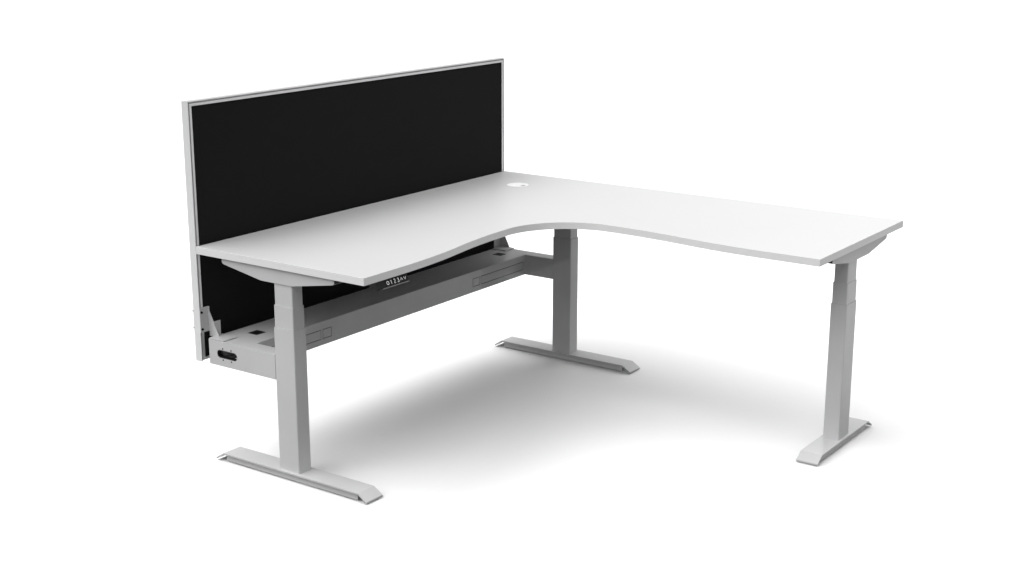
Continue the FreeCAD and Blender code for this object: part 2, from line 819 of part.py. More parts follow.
def wing_front(sketch, length, inset, left):
    """Draw a wing's front edge from its end to the inner corner: a straight run, then two arcs of an S-curve.

    Returns the straight run, the arc at the waist and that arc's end at the inner corner.
    """
    waist = size.wing_depth - size.waist_rise
    pivot = waist + size.corner_radius
    run = (length - pivot) * size.curve_share
    bend = (run * run + size.waist_rise * size.waist_rise) / (size.waist_rise * 4)
    middle, straight = pivot + run / 2, pivot + run
    depth, near = size.wing_depth - inset, waist - inset

    def spot(along, down):
        if left:
            return down, along and -along
        return along, down and -down

    def point(along, down):
        x, y = spot(along, down)
        return Vector(x.value, y.value, 0)

    def arc(centre, first, last):
        ends = (last, first) if left else (first, last)
        return sketch.addGeometry(arc_between(centre, *ends))

    crossing = point(middle, (depth + near) / 2)
    front = sketch.addGeometry(Part.LineSegment(point(length - inset, depth), point(straight, depth)))
    outer_arc = arc(point(straight, depth + inset - bend), crossing, point(straight, depth))
    waist_arc = arc(point(pivot, waist + bend), crossing, point(pivot, near))
    inner_end, outer_end = (2, 1) if left else (1, 2)
    join(sketch, front, 2, outer_arc, outer_end)
    join(sketch, outer_arc, inner_end, waist_arc, inner_end)
    pin(sketch, front, 1, *spot(length - inset, depth))
    pin(sketch, front, 2, *spot(straight, depth))
    pin(sketch, outer_arc, 3, *spot(straight, None))
    pin(sketch, waist_arc, inner_end, *spot(middle, None))
    pin(sketch, waist_arc, outer_end, *spot(pivot, near))
    pin(sketch, waist_arc, 3, *spot(pivot, waist + bend))
    return front, waist_arc, outer_end


def desk_body(name, inset):
    """The L-shaped board drawn in by an inset, with its round inner corner between the wings' front edges."""
    near = size.wing_depth - size.waist_rise - inset
    pivot = near + inset + size.corner_radius
    right = size.right_wing_length - inset
    left = size.left_wing_length - inset
    depth = size.wing_depth - inset

    def line(start, end):
        points = [Vector(x.value, -y.value, 0) for x, y in (start, end)]
        return sketch.addGeometry(Part.LineSegment(*points))

    body, sketch = start_sketch(name)
    right_front, right_waist, right_corner = wing_front(sketch, size.right_wing_length, inset, False)
    left_front, left_waist, left_corner = wing_front(sketch, size.left_wing_length, inset, True)
    centre = Vector(pivot.value, -pivot.value, 0)
    corner_start = Vector(pivot.value, -near.value, 0)
    corner_end = Vector(near.value, -pivot.value, 0)
    corner = sketch.addGeometry(arc_between(centre, corner_start, corner_end))
    back = line((inset, inset), (right, inset))
    right_side = line((right, inset), (right, depth))
    left_side = line((depth, left), (inset, left))
    screen_side = line((inset, left), (inset, inset))
    for first, first_end, second, second_end in (
        (back, 2, right_side, 1), (right_side, 2, right_front, 1), (right_waist, right_corner, corner, 1),
        (corner, 2, left_waist, left_corner), (left_front, 1, left_side, 1), (left_side, 2, screen_side, 1),
        (screen_side, 2, back, 1),
    ):
        join(sketch, first, first_end, second, second_end)
    pin(sketch, back, 1, inset, -inset)
    pin(sketch, right_side, 1, right, -inset)
    pin(sketch, left_side, 2, inset, -left)
    pin(sketch, corner, 3, pivot, None)
    board = pad(body, sketch, size.desktop_thickness)
    return place(board, (screen_edge, back_edge, desk_under), LEVEL)


grommet_x = screen_edge + size.grommet_from_screen
grommet_y = back_edge - size.grommet_from_back


def grommet_rod(name, low, radius, length):
    return rod(name, (grommet_x, grommet_y, low), radius, length)


def make_desktop(screws):
    """Board, edge band round it, and the stepped hole for the grommet."""
    board = desk_body("desk_board", size.band_thickness)
    whole = desk_body("desk_outline", size.band_thickness * 0)
    hole = grommet_rod("grommet_hole", desk_under - PAST, size.grommet_hole_radius,
                       size.desktop_thickness + PAST * 2)
    rebate = grommet_rod("grommet_rebate", desk_top - size.grommet_rim_thickness,
                         size.grommet_hole_radius + size.grommet_rim_width + size.grommet_rim_gap,
                         size.grommet_rim_thickness + PAST)
    node("desktop", cut("desktop_board", board, hole, rebate, *screws))
    node("edge_band", cut("desktop_band", whole, board))


def make_grommet():
    """A flanged sleeve set flush in the desktop and a cap that turns in it, with a notch for cables."""
    bore = size.grommet_hole_radius - size.grommet_wall
    ledge_bore = bore - size.grommet_ledge
    seat = desk_top - size.grommet_cap_thickness - size.guide_clearance
    low = desk_under - size.grommet_tail
    rim = grommet_rod("grommet_rim", desk_top - size.grommet_rim_thickness,
                      size.grommet_hole_radius + size.grommet_rim_width, size.grommet_rim_thickness)
    barrel = grommet_rod("grommet_barrel", low, size.grommet_hole_radius, desk_top - low)
    wide = grommet_rod("grommet_recess", seat, bore, desk_top - seat + PAST)
    through = grommet_rod("grommet_bore", low - PAST, ledge_bore, desk_top - low)
    node("grommet_sleeve", cut("grommet_bored", fuse("grommet_blank", rim, barrel), wide, through))

    cap_low = desk_top - size.grommet_cap_thickness
    disc = grommet_rod("cap_disc", cap_low, bore - size.guide_clearance, size.grommet_cap_thickness)
    skirt_low = cap_low - size.grommet_skirt_height
    skirt_radius = ledge_bore - size.guide_clearance
    skirt = grommet_rod("cap_skirt", skirt_low, skirt_radius, size.grommet_skirt_height)
    hollow = grommet_rod("cap_hollow", skirt_low - PAST, skirt_radius - size.grommet_wall,
                         size.grommet_skirt_height + PAST)
    notch = block("cap_notch",
                  (grommet_x + bore - size.notch_depth, grommet_y - size.notch_width / 2, skirt_low - PAST),
                  (size.notch_depth + PAST, size.notch_width, desk_top - skirt_low + PAST * 2))
    node("grommet_cap", cut("cap_open", fuse("cap_blank", disc, skirt), hollow, notch))


# Cable beam: a spine along the screen between two arms that reach the left and corner columns.
beam_rear = screen_edge + size.beam_gap
beam_front = beam_rear + size.beam_width
beam_top = size.beam_bottom + size.beam_height
spine_low = left_leg.y + size.outer_depth / 2
spine_high = corner_leg.y - size.outer_depth / 2
column_rear = left_leg.x - size.outer_width / 2
port_x = beam_rear + size.port_from_rear
port_z = size.beam_bottom + size.beam_height / 2
knockout_low = beam_top - size.knockout_drop - size.knockout_height
insert_x = beam_rear + size.insert_from_rear
insert_starts = [spine_low + size.left_insert_inset,
                 spine_high - size.corner_insert_inset - size.insert_size]


def from_spine_ends(inset, length):
    """Where a stretch lies that starts at an inset from each end of the spine."""
    return [spine_low + inset, spine_high - inset - length]


def knockout_places():
    places = []
    for inset, length in ((size.long_knockout_inset, size.long_knockout_length),
                          (size.square_knockout_inset, size.square_knockout_length)):
        places += [(start, length) for start in from_spine_ends(inset, length)]
    return places


def make_spine():
    """A folded channel with in-turned lips, open at the bottom, with windows in its front and its top."""
    width, height, wall, lip = size.beam_width, size.beam_height, size.beam_wall, size.beam_lip
    corners = [
        (lip, 0), (0, 0), (0, height), (width, height), (width, 0), (width - lip, 0),
        (width - lip, wall), (width - wall, wall), (width - wall, height - wall),
        (wall, height - wall), (wall, wall), (lip, wall),
    ]
    channel = slab("spine_channel", [corners], spine_high - spine_low,
                   (beam_rear, spine_high, size.beam_bottom), ON_EDGE)
    windows = [
        block("spine_window_%d" % i, (beam_front - wall - PAST, start, knockout_low),
              (wall + PAST * 2, length, size.knockout_height))
        for i, (start, length) in enumerate(knockout_places())
    ]
    for i, start in enumerate(insert_starts):
        windows.append(block("spine_insert_hole_%d" % i, (insert_x, start, beam_top - wall - PAST),
                             (size.insert_size, size.insert_size, wall + PAST * 2)))
    node("beam_spine", cut("spine_open", channel, *windows))


def make_covers():
    """Flush covers in the spine's front windows."""
    gap, wall = size.cover_gap, size.beam_wall
    covers = [
        block("knockout_cover_%d" % i, (beam_front - wall, start + gap, knockout_low + gap),
              (wall, length - gap * 2, size.knockout_height - gap * 2))
        for i, (start, length) in enumerate(knockout_places())
    ]
    node("knockout_covers", group("knockout_cover_set", covers))


def make_backings():
    """Dark plates behind the spine's front wall that carry the covers and close the gaps round them."""
    lap, thin = size.cover_lap, size.cover_lap_thickness
    return [
        block("cover_backing_%d" % i, (beam_front - size.beam_wall - thin, start - lap, knockout_low - lap),
              (thin, length + lap * 2, size.knockout_height + lap * 2))
        for i, (start, length) in enumerate(knockout_places())
    ]


def port_outline(grow):
    return rectangle(size.port_length + grow * 2, size.port_height + grow * 2, size.port_corner + grow)


def make_port(leg, side):
    """An oblong cable port in an arm's outer face: a sleeve, and a flange behind the wall."""
    wall = size.beam_wall
    face = leg.y + size.outer_depth / 2 * side
    back = face - wall * side
    sleeve_end = face if side > 0 else face + size.port_depth
    flange_end = back if side > 0 else back + wall
    bore = port_outline(-size.port_wall)
    sleeve = slab(leg.name + "_port_sleeve", [port_outline(wall * 0), bore], size.port_depth,
                  (port_x, sleeve_end, port_z), ON_EDGE)
    flange = slab(leg.name + "_port_flange", [port_outline(size.port_flange), bore], wall,
                  (port_x, flange_end, port_z), ON_EDGE)
    return fuse(leg.name + "_port", sleeve, flange)


def make_insert(index, start):
    """A square insert in the spine's top, with a lap under the wall."""
    gap, lap, wall = size.insert_gap, size.cover_lap, size.beam_wall
    clear, wide, thin = size.insert_size - gap * 2, size.insert_size + lap * 2, size.cover_lap_thickness
    face = block("insert_face_%d" % index, (insert_x + gap, start + gap, beam_top - wall),
                 (clear, clear, wall))
    under = block("insert_lap_%d" % index, (insert_x - lap, start - lap, beam_top - wall - thin),
                  (wide, wide, thin))
    return fuse("square_insert_%d" % index, face, under)


def make_ports():
    """Oblong cable ports in the arms, square inserts in the spine's top and backings of the covers."""
    pieces = [make_port(left_leg, -1), make_port(corner_leg, 1)]
    pieces += [make_insert(i, start) for i, start in enumerate(insert_starts)]
    pieces += make_backings()
    node("cable_ports", group("cable_port_set", pieces))


def arm_screw_rods(leg, name, radius, start, length):
    """Four rods along X on the arm's screw pattern at the column."""
    across, up = size.arm_screw_across, size.arm_screw_up
    spots = [(start, leg.y + across * y, port_z + up * z) for y in (-1, 1) for z in (-1, 1)]
    return [
        rod("%s_%s_%d" % (leg.name, name, i), spot, radius, length, ALONG_X) for i, spot in enumerate(spots)
    ]


def port_screw_rods(leg, side, name, radius, inward, length):
    """Four rods along Y round the arm's oblong port, from a depth behind the arm's face outwards."""
    face = leg.y + size.outer_depth / 2 * side
    half = size.port_screw_spacing / 2
    start = face - inward if side > 0 else face + inward - length
    spots = [(port_x + half * x, start, port_z + half * z) for x in (-1, 1) for z in (-1, 1)]
    return [
        rod("%s_%s_%d" % (leg.name, name, i), spot, radius, length, ALONG_Y) for i, spot in enumerate(spots)
    ]


screen_left = left_end + size.screen_left_inset


def end_span(side, inset, length):
    """Start in Y of a stretch counted inwards from one end of the screen."""
    return screen_left + inset if side < 0 else back_edge - inset - length


def gusset_inset(side):
    """How far in from the screen's end a screen bracket's gusset stands."""
    if side < 0:
        return size.left_leg_inset - size.left_gusset_offset - size.screen_left_inset
    return size.corner_leg_inset - size.corner_gusset_offset


def base_inset(side):
    """How far in from the screen's end a screen bracket's base plate starts."""
    if side < 0:
        return gusset_inset(side) - size.base_plate_lap
    return gusset_inset(side)


def base_screw_spots(side):
    """Screw places of the screen bracket's base plate on an arm."""
    leg = left_leg if side < 0 else corner_leg
    y = leg.y + size.base_screw_offset * side
    return [(beam_rear + size.base_screw_reach + size.base_screw_spacing * i, y) for i in (0, 1)]


def gusset_sizes(side):
    """Reach of a gusset at its head and its foot, and the width of the tab beside it."""
    if side < 0:
        return size.left_gusset_top, size.left_gusset_foot, size.left_tab_width
    return size.corner_gusset_top, size.corner_gusset_foot, size.corner_tab_width


def arm_plan(wall, side):
    """Plan of an arm drawn in by a wall, with its outer corner at the screen rounded."""
    outer, inner = (size.outer_depth / 2 - wall) * side, (wall - size.outer_depth / 2) * side
    end = column_rear - beam_rear - wall
    return [(wall, outer, size.arm_corner - wall), (end, outer), (end, inner), (wall, inner)]


def make_arm(leg, side, spine_side_y):
    """A box section from behind the beam to the column, open to the spine and at its oblong port."""
    wall = size.beam_wall
    outside = slab(leg.name + "_arm_outside", [arm_plan(wall * 0, side)], size.beam_height,
                   (beam_rear, leg.y, size.beam_bottom))
    inside = slab(leg.name + "_arm_inside", [arm_plan(wall, side)], size.beam_height - wall * 2,
                  (beam_rear, leg.y, size.beam_bottom + wall))
    margin = size.arm_window_margin
    window = block(leg.name + "_arm_window",
                   (beam_rear + margin, spine_side_y - wall - PAST, size.beam_bottom + margin),
                   (size.beam_width - margin * 2, wall * 2 + PAST * 2, size.beam_height - margin * 2))
    face = leg.y + size.outer_depth / 2 * side
    port_start = face + PAST if side > 0 else face + wall + PAST
    port = slab(leg.name + "_arm_port", [port_outline(wall * 0)], wall + PAST * 2,
                (port_x, port_start, port_z), ON_EDGE)
    clearance = size.screw_clearance
    holes = arm_screw_rods(leg, "arm_screw_hole", size.arm_screw_radius + clearance,
                           column_rear - wall - PAST, wall + PAST * 2)
    holes += port_screw_rods(leg, side, "port_screw_hole", size.port_screw_radius + clearance,
                             wall + PAST, wall + PAST * 2)
    holes += [
        rod("%s_arm_base_hole_%d" % (leg.name, i), (x, y, beam_top - wall - PAST),
            size.screen_screw_radius + clearance, wall + PAST * 2)
        for i, (x, y) in enumerate(base_screw_spots(side))
    ]
    node(leg.name + "_arm", cut(leg.name + "_arm_box", outside, inside, window, port, *holes))


def make_beam_screws():
    """Screws that hold the arms to the columns, and dark ones that hold the oblong ports to the arms."""
    wall = size.beam_wall
    arm_screws = []
    port_screws = []
    for leg, side in ((left_leg, -1), (corner_leg, 1)):
        heads = arm_screw_rods(leg, "arm_screw_head", size.arm_screw_head_radius,
                               column_rear - wall - size.arm_screw_head_height, size.arm_screw_head_height)
        shanks = arm_screw_rods(leg, "arm_screw_shank", size.arm_screw_radius, column_rear - wall,
                                wall + size.tube_wall)
        arm_screws += [fuse("%s_arm_screw_%d" % (leg.name, i), *pair)
                       for i, pair in enumerate(zip(heads, shanks))]
        port_heads = port_screw_rods(leg, side, "port_screw_head", size.port_screw_radius * 2,
                                     size.port_screw_height * 0, size.port_screw_height)
        port_shanks = port_screw_rods(leg, side, "port_screw_shank", size.port_screw_radius, wall, wall)
        port_screws += [fuse("%s_port_screw_%d" % (leg.name, i), *pair)
                        for i, pair in enumerate(zip(port_heads, port_shanks))]
    node("beam_screws", group("beam_screw_set", arm_screws))
    node("port_screws", group("port_screw_set", port_screws))


def make_outer_tube(leg):
    tube = make_tube(leg, "outer_section", size.outer_width, size.outer_depth, foot_top, size.outer_length)
    if leg is right_leg:
        return tube
    holes = arm_screw_rods(leg, "tube_screw_hole", size.arm_screw_radius, column_rear - PAST,
                           size.tube_wall + PAST * 2)
    return cut(leg.name + "_outer_bored", tube, *holes)


# Fabric screen along the left wing.
screen_front = screen_edge - size.screen_gap
screen_rear = screen_front - size.screen_thickness
screen_top = size.screen_bottom + size.screen_height
frame_y = screen_left + size.screen_cover
frame_length = back_edge - screen_left - size.screen_cover * 2
frame_height = size.screen_height - size.screen_cover
member = size.groove_width + size.flange_width


def frame_ring(name, outer, inner, rear, front):
    """A rectangular ring between two insets from the frame's edge, from one depth to another."""
    rings = []
    for part_name, inset, past in (("outside", outer, 0), ("inside", inner, PAST)):
        rings.append(block("%s_%s" % (name, part_name),
                           (rear - past, frame_y + inset, size.screen_bottom + inset),
                           (front - rear + past * 2, frame_length - inset * 2, frame_height - inset * 2)))
    return cut(name, *rings)


def make_frame(screw_holes):
    """Four mitred extrusions: a groove round the outside, then flanges that hold the fabric tiles."""
    groove, web_end = size.groove_width, size.groove_width + size.frame_web
    none = size.groove_width * 0
    deep, flange = size.groove_depth, size.flange_thickness
    profile = fuse(
        "frame_profile",
        frame_ring("frame_core", none, web_end, screen_rear + deep, screen_front - deep),
        frame_ring("frame_web_ring", groove, web_end, screen_rear, screen_front),
        frame_ring("frame_front_flange", groove, member, screen_front - flange, screen_front),
        frame_ring("frame_rear_flange", groove, member, screen_rear, screen_rear + flange),
    )
    bored = cut("frame_bored", profile, *screw_holes)
    far, top = frame_length, frame_height
    long_end, high_end = far - member, top - member
    mitres = {
        "left_post": [(none, none), (member, member), (member, high_end), (none, top)],
        "right_post": [(far, none), (far, top), (long_end, high_end), (long_end, member)],
        "bottom_rail": [(none, none), (far, none), (long_end, member), (member, member)],
        "top_rail": [(none, top), (member, high_end), (long_end, high_end), (far, top)],
    }
    pieces = []
    for name, corners in mitres.items():
        wedge = slab(name + "_mitre", [corners], size.screen_thickness + PAST * 2,
                     (screen_rear - PAST, frame_y, size.screen_bottom), FACING_X)
        pieces.append(common(name, bored, wedge))
    node("screen_frame", group("screen_frame_set", pieces))


def make_screen_skins():
    """Cover strips round the frame and the two fabric tiles inside it."""
    cover = size.screen_cover
    strips = [
        block("left_cover", (screen_rear, screen_left, size.screen_bottom),
              (size.screen_thickness, cover, size.screen_height)),
        block("right_cover", (screen_rear, back_edge - cover, size.screen_bottom),
              (size.screen_thickness, cover, size.screen_height)),
        block("top_cover", (screen_rear, frame_y, screen_top - cover),
              (size.screen_thickness, frame_length, cover)),
    ]
    node("screen_covers", group("screen_cover_set", strips))
    inset = size.groove_width + size.frame_web + size.tile_gap
    depth = size.screen_thickness / 2 - size.flange_thickness - size.tile_gap * 2
    tile = (depth, frame_length - inset * 2, frame_height - inset * 2)
    tile_y, tile_z = frame_y + inset, size.screen_bottom + inset
    middle = screen_rear + size.screen_thickness / 2
    node("front_tile", block("front_fabric", (middle + size.tile_gap, tile_y, tile_z), tile))
    node("rear_tile", block("rear_fabric", (middle - size.tile_gap - depth, tile_y, tile_z), tile))


def post_screw_rods(name, radius, start, length):
    """Rods along X through both posts' grooves, two at each end of the screen."""
    inset = size.screen_cover + (size.groove_width + size.frame_web) / 2
    rods = []
    for side in (-1, 1):
        for i in (0, 1):
            z = beam_top + size.post_screw_low + size.post_screw_spacing * i
            y = end_span(side, inset, size.screen_cover * 0)
            rods.append(rod("%s_%d" % (name, len(rods) + 1), (start, y, z), radius, length, ALONG_X))
    return rods


def make_screen_bracket(side, name, post_holes):
    """Folded bracket: plate on the post, gusset, low tab against the screen, and base plate on the arm."""
    thick = size.plate_thickness
    reach = gusset_inset(side)
    post = block(name + "_post_plate",
                 (screen_front, end_span(side, thick * 0, reach), beam_top + size.post_plate_low),
                 (thick, reach, size.post_plate_top - size.post_plate_low))
    low, top, notch = size.post_plate_low, size.post_plate_top, size.gusset_notch
    head, foot, tab_width = gusset_sizes(side)
    corners = [
        (0, low), (0, top), (head, top), (head, top - size.gusset_drop), (foot, 0), (notch, 0), (notch, low),
    ]
    gusset = slab(name + "_gusset", [corners], thick,
                  (screen_front, end_span(side, reach, thick) + thick, beam_top), ON_EDGE)
    tab = block(name + "_tab", (beam_rear, end_span(side, reach, tab_width), beam_top),
                (thick, tab_width, size.tab_height))
    base_x = beam_rear + size.base_plate_inset
    base_y = end_span(side, base_inset(side), size.base_plate_length)
    margin, lift = size.base_pad_inset, size.base_pad_thickness
    base = block(name + "_base", (base_x, base_y, beam_top + lift),
                 (size.base_plate_reach, size.base_plate_length, thick))
    base_pad = block(name + "_pad", (base_x + margin, base_y + margin, beam_top),
                     (size.base_plate_reach - margin * 2, size.base_plate_length - margin * 2, lift))
    holes = [
        rod("%s_base_hole_%d" % (name, i), (x, y, beam_top - PAST),
            size.screen_screw_radius + size.screw_clearance,
            lift + size.base_screw_depth + size.screw_clearance + PAST)
        for i, (x, y) in enumerate(base_screw_spots(side))
    ]
    return cut(name, fuse(name + "_blank", post, gusset, tab, base, base_pad), *post_holes, *holes)


def make_screen_hardware():
    """Brackets, clamp plates behind the posts, and the screws that tie them together."""
    thick = size.plate_thickness
    rear_face = screen_rear - size.clamp_thickness
    grip = size.clamp_thickness + size.screen_thickness + thick
    post_holes = post_screw_rods("post_hole", size.screen_screw_radius + size.screw_clearance,
                                 rear_face - PAST, grip + PAST * 2)
    make_frame(post_holes)
    brackets = [make_screen_bracket(-1, "left_screen_bracket", post_holes[:2]),
                make_screen_bracket(1, "right_screen_bracket", post_holes[2:])]
    node("screen_brackets", group("screen_bracket_set", brackets))
    clamps = []
    for side, holes in ((-1, post_holes[:2]), (1, post_holes[2:])):
        y = end_span(side, size.clamp_inset, size.clamp_width)
        plate = block("clamp_blank_%d" % len(clamps), (rear_face, y, beam_top + size.clamp_low),
                      (size.clamp_thickness, size.clamp_width, size.clamp_height))
        clamps.append(cut("clamp_plate_%d" % len(clamps), plate, *holes))
    node("clamp_plates", group("clamp_plate_set", clamps))

    head_radius, head_height = size.screen_screw_head_radius, size.screen_screw_head_height
    shanks = post_screw_rods("post_shank", size.screen_screw_radius, rear_face, grip)
    heads = post_screw_rods("post_head", head_radius, screen_front + thick, head_height)
    tails = post_screw_rods("post_nut", head_radius, rear_face - head_height, head_height)
    screws = [fuse("post_screw_%d" % i, *pieces) for i, pieces in enumerate(zip(shanks, heads, tails))]
    for side in (-1, 1):
        for x, y in base_screw_spots(side):
            index = len(screws)
            under_wall = beam_top - size.beam_wall
            shank = rod("base_shank_%d" % index, (x, y, under_wall), size.screen_screw_radius,
                        size.beam_wall + size.base_pad_thickness + size.base_screw_depth)
            head = rod("base_head_%d" % index, (x, y, under_wall - head_height), head_radius, head_height)
            screws.append(fuse("base_screw_%d" % index, shank, head))
    node("screen_screws", group("screen_screw_set", screws))


def make_control_box():
    """The control box under the left wing, with motor sockets and the mains inlet in its end."""
    x = screen_edge + size.control_setback
    low = desk_under - size.control_height
    end = size.control_length / 2
    box = slab("control_case", [rectangle(size.control_width, size.control_length, size.control_corner)],
               size.control_height, (x, 0, low))
    middle = low + size.control_height / 2
    first = x - size.control_width / 2 + size.control_corner
    sockets = [
        block("motor_socket_%d" % i,
              (first + size.socket_pitch * i, end - size.inlet_depth, middle - size.socket_height / 2),
              (size.socket_width, size.inlet_depth + PAST, size.socket_height))
        for i in range(3)
    ]
    inlet = block("mains_inlet", (x - size.inlet_width / 2, -end - PAST, middle - size.inlet_height / 2),
                  (size.inlet_width, size.inlet_depth + PAST, size.inlet_height))
    node("control_box", cut("control_box_open", box, inlet, *sockets))


# Handset under the left wing's front edge: its face leans so that it looks up at the user.
handset_low_x = screen_edge + size.wing_depth + size.handset_proud
handset_slope = sine(size.handset_angle) / cosine(size.handset_angle)
handset_lean = size.handset_height * handset_slope
handset_y = left_end + size.handset_from_end


def key_spot(index, grow, depth):
    """Lowest corner of a key or its well, which lies along the leaning face."""
    down = size.key_from_top - grow
    face_x = handset_low_x - handset_lean + sine(size.handset_angle) * down
    face_z = desk_under - cosine(size.handset_angle) * down
    y = handset_y + size.first_key_inset + size.key_pitch * index - size.key_width / 2 - grow
    return (face_x - cosine(size.handset_angle) * depth, y, face_z - sine(size.handset_angle) * depth)


def leaning_block(name, spot, lengths):
    """A box that lies along the handset's face: down it, across it and out of it."""
    box = block(name, spot, lengths, Rotation(Vector(0, 1, 0), 90 - size.handset_angle.value))
    bind(box, "Placement.Rotation.Angle", 90 - size.handset_angle)
    return box


def make_handset():
    """The handset's case and its six keys, each in a well of its own."""
    front, height, rise = size.handset_depth, size.handset_height, size.handset_ledge_rise
    ledge = front + size.handset_ledge
    corners = [
        (0, 0), (0, -size.handset_back_height), (front - size.handset_lip * 2, -height), (ledge, -height),
        (ledge, rise - height), (front - handset_slope * rise, rise - height), (front - handset_lean, 0),
    ]
    case = slab("handset_shell", [corners], size.handset_width,
                (handset_low_x - size.handset_depth, handset_y + size.handset_width, desk_under), ON_EDGE)
    gap = size.key_gap
    well_depth = size.key_depth - size.key_proud + size.key_travel + gap
    wells = [
        leaning_block("key_well_%d" % i, key_spot(i, gap, well_depth),
                      (size.key_height + gap * 2, size.key_width + gap * 2, well_depth + PAST))
        for i in range(len(KEYS))
    ]
    node("handset_case", cut("handset_open", case, *wells))
    for i, name in enumerate(KEYS):
        spot = key_spot(i, gap * 0, size.key_depth - size.key_proud)
        cap = leaning_block("key_cap_" + name, spot, (size.key_height, size.key_width, size.key_depth))
        node("key_" + name, cap)


def make_legs():
    """Each column from the floor up, with the pieces that are alike on all three as groups."""
    for leg in legs:
        node(leg.name + "_foot", make_foot(leg))
        node(leg.name + "_outer_tube", make_outer_tube(leg))
        node(leg.name + "_middle_tube",
             make_tube(leg, "middle_section", middle_width, middle_depth, middle_bottom, size.middle_length))
        node(leg.name + "_inner_tube",
             make_tube(leg, "inner_section", inner_width, inner_depth, inner_bottom, size.inner_length))
        node(leg.name + "_stage_bearing", make_bearing(leg))
        node(leg.name + "_spindle", make_spindle(leg))
        node(leg.name + "_drive_shaft", make_shaft(leg))
        node(leg.name + "_bracket", make_bracket(leg))
    glides = [make_glide(leg, i, along) for leg in legs for i, along in enumerate(glide_places(leg))]
    node("levelling_glides", group("glide_set", glides))
    node("column_bolts", group("column_bolt_set", [bolt for leg in legs for bolt in make_column_bolts(leg)]))
    for name, maker in (("foot_rails", make_rail), ("column_bases", make_column_base),
                        ("outer_guides", make_outer_guide), ("inner_guides", make_inner_guide),
                        ("fixed_screws", make_fixed_screw), ("spindle_nuts", make_nut),
                        ("lift_motors", make_motor)):
        node(name, group(name + "_set", [maker(leg) for leg in legs]))


def write_parts():
    """Check every object, then write each sub-part to its file."""
    doc.recompute()
    failed = [obj.Name for obj in doc.Objects if "Invalid" in obj.State or "Error" in obj.State]
    if failed:
        raise RuntimeError("these objects failed: %s" % ", ".join(failed))
    for name, obj in nodes.items():
        if obj.Shape.isNull() or not obj.Shape.isValid() or not obj.Shape.Solids:
            raise RuntimeError("the shape of %s is not sound" % name)
    os.makedirs("parts", exist_ok=True)
    for name, obj in nodes.items():
        obj.Shape.exportStep("parts/%s.step" % name)
        print("%s: %d solids, %.0f mm3" % (name, len(obj.Shape.Solids), obj.Shape.Volume))


make_legs()
desk_screws = [screw for leg in legs for screw in make_desk_screws(leg)]
node("desk_screws", group("desk_screw_set", desk_screws))
make_desktop(desk_screws)
make_grommet()
make_spine()
make_covers()
make_ports()
make_arm(left_leg, -1, spine_low)
make_arm(corner_leg, 1, spine_high)
make_beam_screws()
make_screen_hardware()
make_screen_skins()
make_control_box()
make_handset()
write_parts()
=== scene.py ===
import json
import math

import bmesh
import bpy
from mathutils import Matrix, Vector


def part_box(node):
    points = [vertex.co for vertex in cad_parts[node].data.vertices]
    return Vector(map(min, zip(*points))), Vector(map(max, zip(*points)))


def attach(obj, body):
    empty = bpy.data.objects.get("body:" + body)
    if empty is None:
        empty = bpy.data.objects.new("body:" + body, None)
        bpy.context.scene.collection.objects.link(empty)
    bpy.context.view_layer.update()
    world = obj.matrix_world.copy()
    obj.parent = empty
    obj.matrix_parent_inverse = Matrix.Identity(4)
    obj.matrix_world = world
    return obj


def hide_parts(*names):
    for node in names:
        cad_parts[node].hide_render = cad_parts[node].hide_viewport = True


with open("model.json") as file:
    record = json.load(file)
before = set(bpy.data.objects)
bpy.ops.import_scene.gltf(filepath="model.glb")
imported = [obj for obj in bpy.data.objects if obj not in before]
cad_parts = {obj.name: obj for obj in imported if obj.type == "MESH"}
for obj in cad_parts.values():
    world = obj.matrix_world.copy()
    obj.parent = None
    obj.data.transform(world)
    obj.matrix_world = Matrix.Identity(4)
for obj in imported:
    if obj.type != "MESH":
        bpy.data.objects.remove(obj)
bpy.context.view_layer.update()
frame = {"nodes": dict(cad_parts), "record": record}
nodes = frame["nodes"]
scene = bpy.context.scene

# The camera stands in front of the right wing's end and looks down at the inner corner.
CAMERA_PLACE = (2.7236, -4.1334, 1.8552)
CAMERA_YAW = math.radians(125.313)
CAMERA_PITCH = math.radians(-14.693)
FOCAL_PIXELS = 1430.74
FRAME_PIXELS = 1024
SENSOR_WIDTH = 36.0

# Most of a noise texture lies between these two values.
NOISE_LOW, NOISE_HIGH = 0.3, 0.7

# Fabric tiles: two threads of the weave, the rounding of the edges, the swell of the face and its mesh.
THREAD_PAIR = 0.0024
TILE_EDGE = 0.004
TILE_CROWN = 0.0012
TILE_STEPS = 36

# Handset keys and the marks printed on them.
KEYS = ["memory", "preset_1", "preset_2", "preset_3", "up", "down"]
HANDSET_ANGLE = math.radians(22)
KEY_WIDTH, KEY_HEIGHT, KEY_DEPTH = 0.015, 0.0165, 0.0035
KEY_CORNER, KEY_RIM = 0.002, 0.0005
DISH_DEPTH = 0.0003
DISH_RINGS = [0.92, 0.8, 0.65, 0.48, 0.3, 0.12]
MARK_WIDTH, MARK_THICKNESS = 0.0019, 0.0003
MARK_SINK = 0.00032
MILLIMETRE = 0.001
TINY = 1e-6

# Grey strip along the handset's ledge that paints a highlight on its lower edge; it starts an inset from
# the handset's left end.
HIGHLIGHT_INSET = 0.022
HIGHLIGHT_DEPTH, HIGHLIGHT_HEIGHT = 0.0034, 0.0023
HIGHLIGHT_PROUD = 0.0003
HIGHLIGHT_EDGE = 0.0005

# Studio: the fill light fades to a share of its strength below the horizon.
FLOOR_SIZE = 60
LAMP_DISTANCE = 5
FILL_STRENGTH = 0.5
FILL_BELOW = 0.2
HORIZON_BLEND = 0.05


def new_material(name):
    """A material with its node tree and its principled shader."""
    material = bpy.data.materials.new(name)
    material.use_nodes = True
    return material, material.node_tree, material.node_tree.nodes["Principled BSDF"]


